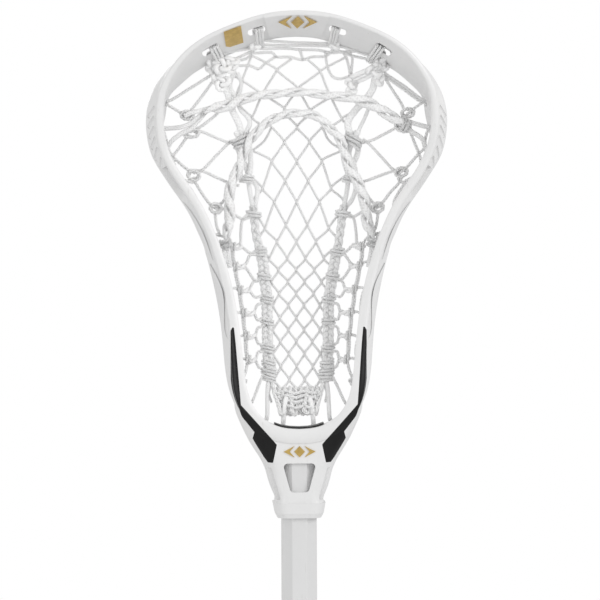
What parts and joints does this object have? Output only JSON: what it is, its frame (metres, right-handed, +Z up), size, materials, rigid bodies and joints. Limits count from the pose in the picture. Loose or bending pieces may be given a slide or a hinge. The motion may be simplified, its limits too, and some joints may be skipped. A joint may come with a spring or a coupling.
{
  "type": "lacrosse stick",
  "caption": "Lacrosse stick: a flared plastic head with a strung mesh pocket, screwed onto a hollow octagonal shaft with a rubber butt cap.",
  "frame": {"origin": "centre of the butt cap's flat end", "axes": "+Z up the shaft's axis towards the head, -Y out of the open front of the head, +X to the right seen from the front"},
  "size_m": [0.19, 0.0633, 1.087],
  "materials": {
    "head_plastic": "satin",
    "inlay_black": "satin",
    "gold_print": "satin",
    "pad_foam": "matte",
    "shaft_paint": "satin",
    "screw_steel": "satin",
    "cap_rubber": "matte",
    "mesh_cord": "satin",
    "runner_braid": "satin",
    "shooting_lace": "satin",
    "string_cord": "satin"
  },
  "bodies": {
    "stick": {"badge": "gold_print", "ball_stop_pad": "pad_foam", "centre_mesh": "mesh_cord", "head_frame": "head_plastic", "inlay_left": "inlay_black", "inlay_right": "inlay_black", "lower_shooting_string": "shooting_lace", "mesh_gather": "mesh_cord", "mesh_tie_left": "string_cord", "mesh_tie_right": "string_cord", "outer_tail_left": "string_cord", "outer_tail_right": "string_cord", "runner_left": "runner_braid", "runner_right": "runner_braid", "runner_tail_left": "runner_braid", "runner_tail_right": "runner_braid", "scoop_emblem": "gold_print", "shaft": "shaft_paint", "side_lacing_left": "mesh_cord", "side_lacing_right": "mesh_cord", "sidewall_string_left": "string_cord", "sidewall_string_right": "string_cord", "throat_emblem": "gold_print", "top_string": "string_cord", "upper_shooting_string": "shooting_lace"},
    "cap": {"end_cap": "cap_rubber"},
    "screw": {"head_screw": "screw_steel"}
  },
  "joints": [
    {"name": "end_cap_pull", "type": "slide", "parent": "stick", "child": "cap", "axis": [0, 0, -1], "range_m": [0, 0.045]},
    {"name": "head_screw_out", "type": "slide", "parent": "stick", "child": "screw", "axis": [0, 1, 0], "range_m": [0, 0.016]}
  ]
}
